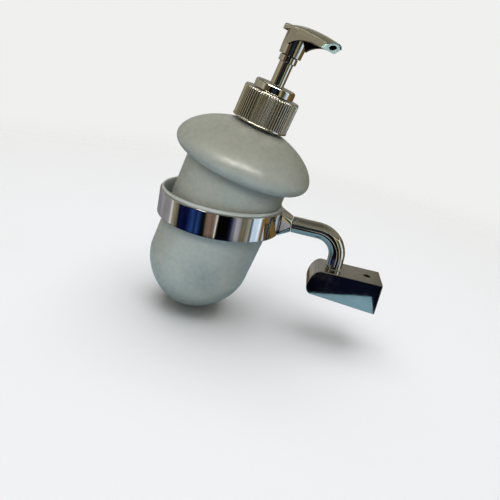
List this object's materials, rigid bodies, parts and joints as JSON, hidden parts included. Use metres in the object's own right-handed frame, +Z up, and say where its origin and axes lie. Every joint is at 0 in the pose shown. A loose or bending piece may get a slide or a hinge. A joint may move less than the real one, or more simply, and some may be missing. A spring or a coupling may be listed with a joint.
{
  "type": "wall mounted soap dispenser",
  "caption": "Wall soap dispenser: frosted glass bottle with a lotion pump, leaning in a chrome ring on a bent arm and wall block.",
  "frame": {"origin": "centre of the bracket's flat back face, which lies on the wall", "axes": "+X into the wall, +Z up along the holder ring's axis, +Y across; the camera of the picture looks roughly along +Y"},
  "size_m": [0.1493, 0.0864, 0.1846],
  "materials": {
    "chrome": "polished chrome on cast metal",
    "plated_plastic": "chrome plated plastic",
    "frosted_glass": "acid frosted glass, satin",
    "liner_plastic": "milky translucent plastic",
    "natural_plastic": "natural white polypropylene",
    "nozzle_plastic": "pale aqua plastic",
    "zinc": "zinc plated",
    "steel": "stainless steel"
  },
  "bodies": {
    "holder": {"ring_band": "chrome", "ring_liner": "liner_plastic", "ring_screw": "steel", "arm": "chrome", "wall_block": "chrome", "wall_bracket": "zinc", "set_screw": "steel"},
    "bottle": {"bottle": "frosted_glass"},
    "pump": {"pump_housing": "natural_plastic", "gasket": "natural_plastic", "guide_cap": "plated_plastic", "dip_tube": "natural_plastic", "inlet_ball": "steel", "return_spring": "steel"},
    "collar": {"collar": "plated_plastic", "collar_insert": "natural_plastic"},
    "plunger": {"stem": "plated_plastic", "piston_seal": "natural_plastic", "outlet_ball": "steel"},
    "head": {"pump_head": "plated_plastic", "nozzle_insert": "nozzle_plastic"}
  },
  "joints": [
    {"name": "bottle_lift", "type": "slide", "parent": "holder", "child": "bottle", "axis": [0.2181, 0, 0.9759], "range_m": [-0.0102, 0.095]},
    {"name": "pump_rise", "type": "slide", "parent": "bottle", "child": "pump", "axis": [0.2181, 0, 0.9759], "range_m": [0, 0.0046]},
    {"name": "collar_turn", "type": "hinge", "parent": "pump", "child": "collar", "pos_m": [-0.09594, 0, 0.08651], "axis": [0.2181, 0, 0.9759], "range_deg": [0, 540]},
    {"name": "pump_press", "type": "slide", "parent": "pump", "child": "plunger", "axis": [-0.2181, 0, -0.9759], "range_m": [0, 0.0125], "stiffness_N_per_m": 300, "springref_m": -0.01, "deforming": ["return_spring"]},
    {"name": "head_turn", "type": "hinge", "parent": "plunger", "child": "head", "pos_m": [-0.09594, 0, 0.08651], "axis": [0.2181, 0, 0.9759], "continuous": true}
  ],
  "couplings": [
    {"joint": "pump_rise", "follows": "collar_turn", "m_per_rad": 0.00047746}
  ]
}
